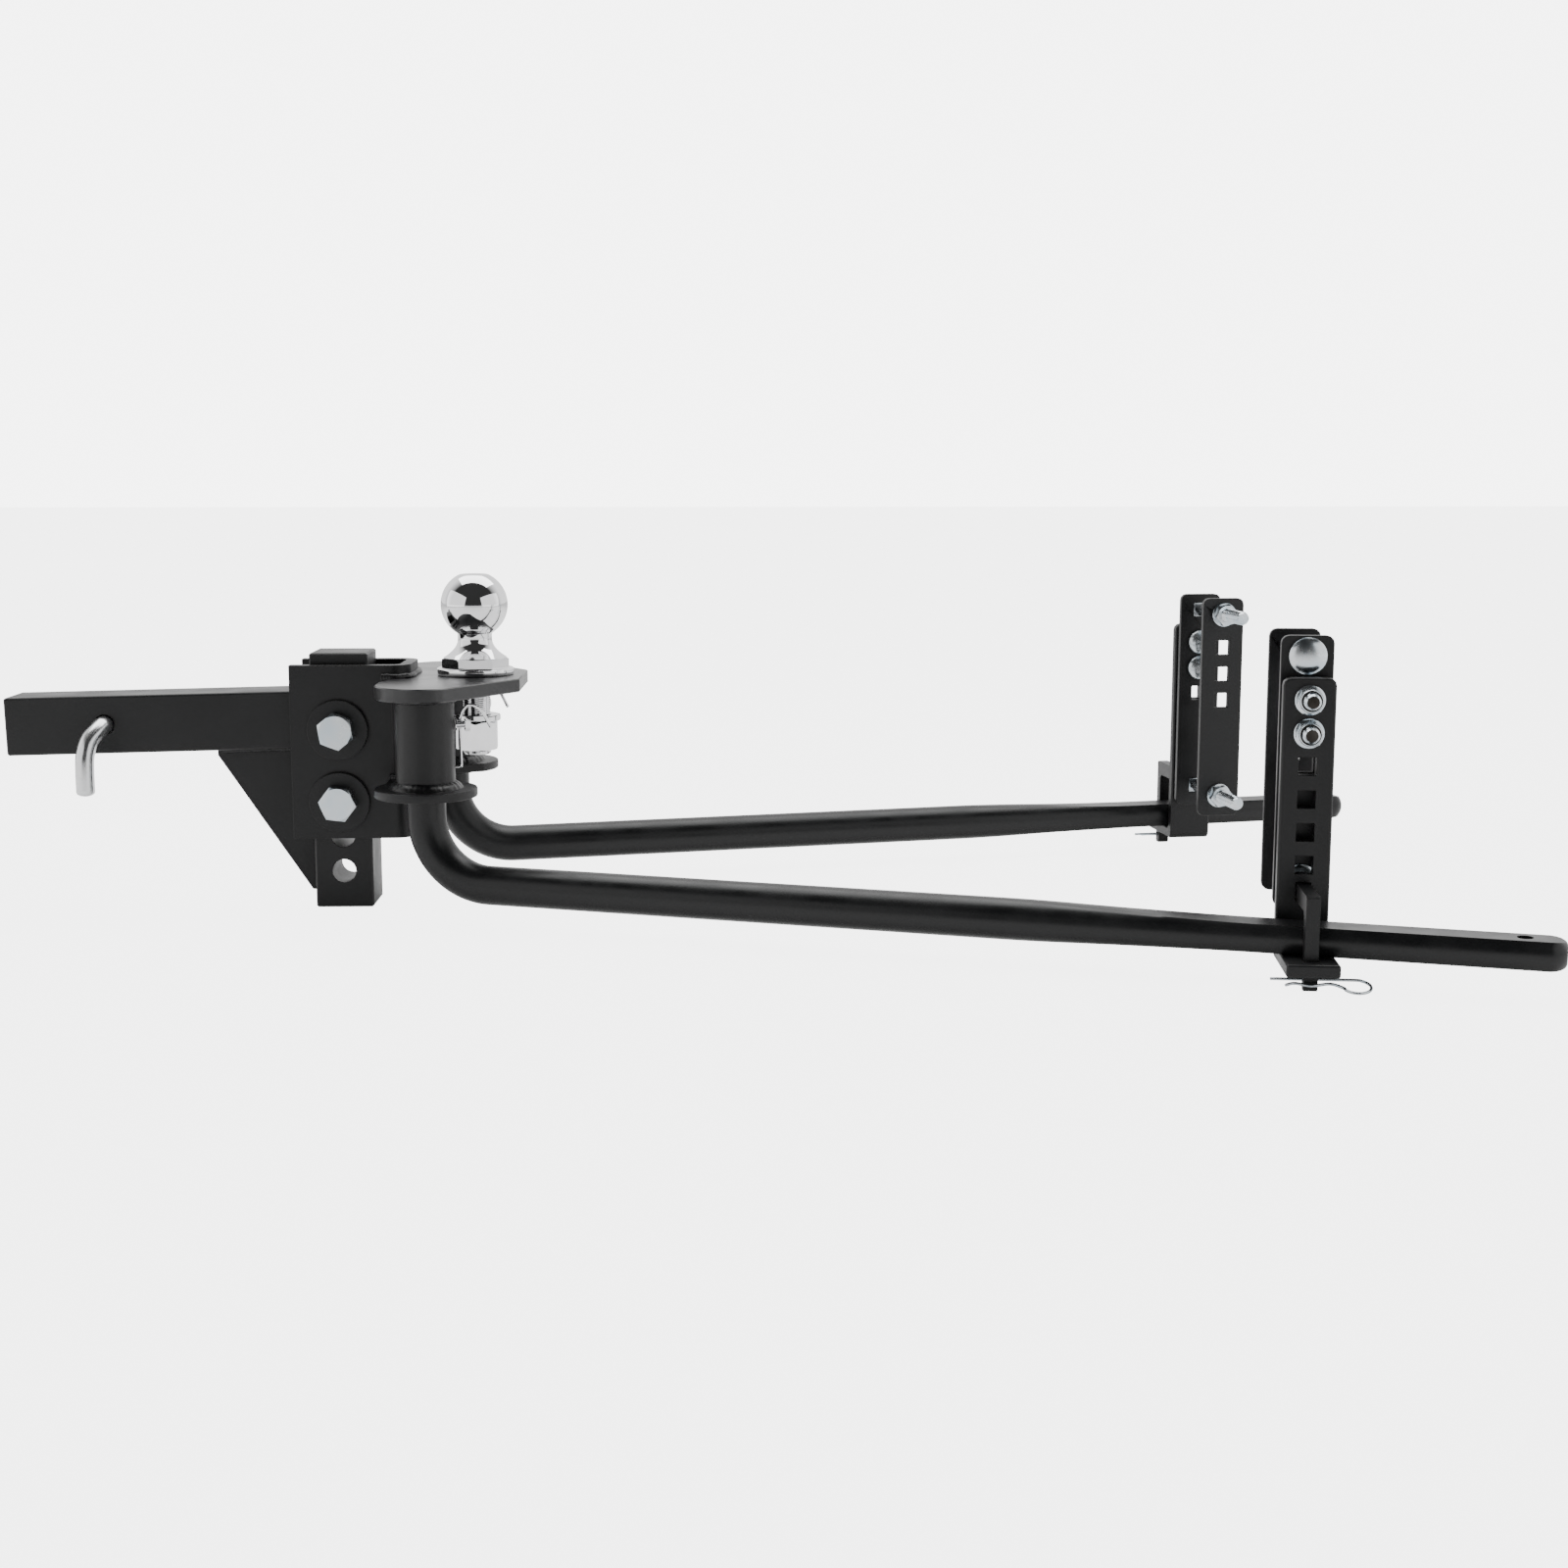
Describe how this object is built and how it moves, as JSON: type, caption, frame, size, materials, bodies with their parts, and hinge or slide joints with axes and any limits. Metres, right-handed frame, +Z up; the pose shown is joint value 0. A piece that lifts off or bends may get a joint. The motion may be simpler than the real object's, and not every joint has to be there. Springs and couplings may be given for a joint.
{
  "type": "weight distribution hitch",
  "caption": "Weight distribution hitch: square shank with an adjustable ball mount, tow ball, round spring bars in sockets, and bolt-on frame brackets that hold the bars.",
  "frame": {"origin": "centre of the drop bar's bottom face, which stands on the ground", "axes": "+X along the trailer, from the shank towards the spring bars' ends; +Y to the right when facing the towing vehicle; +Z up"},
  "size_m": [1.2724, 0.7144, 0.2934],
  "materials": {
    "powder_coat": "satin black powder coat",
    "bar_coat": "satin black paint, a little smoother than the brackets",
    "chrome_plate": "polished chrome plate",
    "zinc_plate": "bright zinc plate"
  },
  "bodies": {
    "hitch_head": {"shank": "powder_coat", "drop_bar": "powder_coat", "gusset": "powder_coat", "head_channel": "powder_coat", "ball_plate": "powder_coat", "tow_ball": "chrome_plate", "ball_nut": "chrome_plate", "ball_lock_washer": "chrome_plate", "upper_main_bolt": "zinc_plate", "upper_main_nut": "zinc_plate", "upper_main_washer_left": "powder_coat", "upper_main_washer_right": "powder_coat", "lower_main_bolt": "zinc_plate", "lower_main_nut": "zinc_plate", "lower_main_washer_left": "powder_coat", "lower_main_washer_right": "powder_coat", "left_socket_tube": "powder_coat", "left_lower_plate": "powder_coat", "left_bar_clip_bolt": "chrome_plate", "right_socket_tube": "powder_coat", "right_lower_plate": "powder_coat", "right_bar_clip_bolt": "chrome_plate"},
    "hitch_pin": {"hitch_pin": "zinc_plate"},
    "hitch_pin_clip": {"hitch_pin_clip": "zinc_plate"},
    "left_bar_clip": {"left_bar_clip": "chrome_plate"},
    "left_bar": {"left_spring_bar": "bar_coat"},
    "left_bracket": {"left_lift_bracket": "powder_coat", "left_retainer": "powder_coat", "left_outer_link_plate": "powder_coat", "left_inner_link_plate": "powder_coat", "left_upper_clamp_bolt": "zinc_plate", "left_upper_clamp_nut": "zinc_plate", "left_upper_lift_bolt": "zinc_plate", "left_upper_lift_nut": "zinc_plate", "left_upper_spacer": "zinc_plate", "left_lower_clamp_bolt": "zinc_plate", "left_lower_clamp_nut": "zinc_plate", "left_lower_lift_bolt": "zinc_plate", "left_lower_lift_nut": "zinc_plate", "left_lower_spacer": "zinc_plate"},
    "left_retainer_clip": {"left_retainer_clip": "zinc_plate"},
    "right_bar_clip": {"right_bar_clip": "chrome_plate"},
    "right_bar": {"right_spring_bar": "bar_coat"},
    "right_bracket": {"right_lift_bracket": "powder_coat", "right_retainer": "powder_coat", "right_outer_link_plate": "powder_coat", "right_inner_link_plate": "powder_coat", "right_upper_clamp_bolt": "zinc_plate", "right_upper_clamp_nut": "zinc_plate", "right_upper_lift_bolt": "zinc_plate", "right_upper_lift_nut": "zinc_plate", "right_upper_spacer": "zinc_plate", "right_lower_clamp_bolt": "zinc_plate", "right_lower_clamp_nut": "zinc_plate", "right_lower_lift_bolt": "zinc_plate", "right_lower_lift_nut": "zinc_plate", "right_lower_spacer": "zinc_plate"},
    "right_retainer_clip": {"right_retainer_clip": "zinc_plate"}
  },
  "joints": [
    {"name": "hitch_pin_swivel", "type": "hinge", "parent": "hitch_head", "child": "hitch_pin", "pos_m": [-0.2048, 0, 0.16369], "axis": [0, 1, 0], "range_deg": [-90, 90]},
    {"name": "hitch_pin_clip_pull", "type": "slide", "parent": "hitch_pin", "child": "hitch_pin_clip", "axis": [1, 0, 0], "range_m": [0, 0.04]},
    {"name": "left_bar_clip_swing", "type": "hinge", "parent": "hitch_head", "child": "left_bar_clip", "pos_m": [0.11174, -0.07972, 0.17], "axis": [0.2079, -0.9781, 0], "range_deg": [0, 12]},
    {"name": "left_bar_swing", "type": "hinge", "parent": "hitch_head", "child": "left_bar", "pos_m": [0.0822, -0.086, 0.1], "axis": [0, 0, 1], "range_deg": [-60, 6]},
    {"name": "left_bracket_slide", "type": "slide", "parent": "left_bar", "child": "left_bracket", "axis": [0.9455, -0.3256, 0], "range_m": [-0.03, 0.08]},
    {"name": "left_retainer_clip_pull", "type": "slide", "parent": "left_bracket", "child": "left_retainer_clip", "axis": [0.9936, -0.1132, 0], "range_m": [0, 0.045]},
    {"name": "right_bar_clip_swing", "type": "hinge", "parent": "hitch_head", "child": "right_bar_clip", "pos_m": [0.11174, 0.07972, 0.17], "axis": [-0.2079, -0.9781, 0], "range_deg": [0, 12]},
    {"name": "right_bar_swing", "type": "hinge", "parent": "hitch_head", "child": "right_bar", "pos_m": [0.0822, 0.086, 0.1], "axis": [0, 0, 1], "range_deg": [-6, 60]},
    {"name": "right_bracket_slide", "type": "slide", "parent": "right_bar", "child": "right_bracket", "axis": [0.9724, 0.2334, 0], "range_m": [-0.03, 0.08]},
    {"name": "right_retainer_clip_pull", "type": "slide", "parent": "right_bracket", "child": "right_retainer_clip", "axis": [0.9936, 0.1132, 0], "range_m": [0, 0.045]}
  ]
}
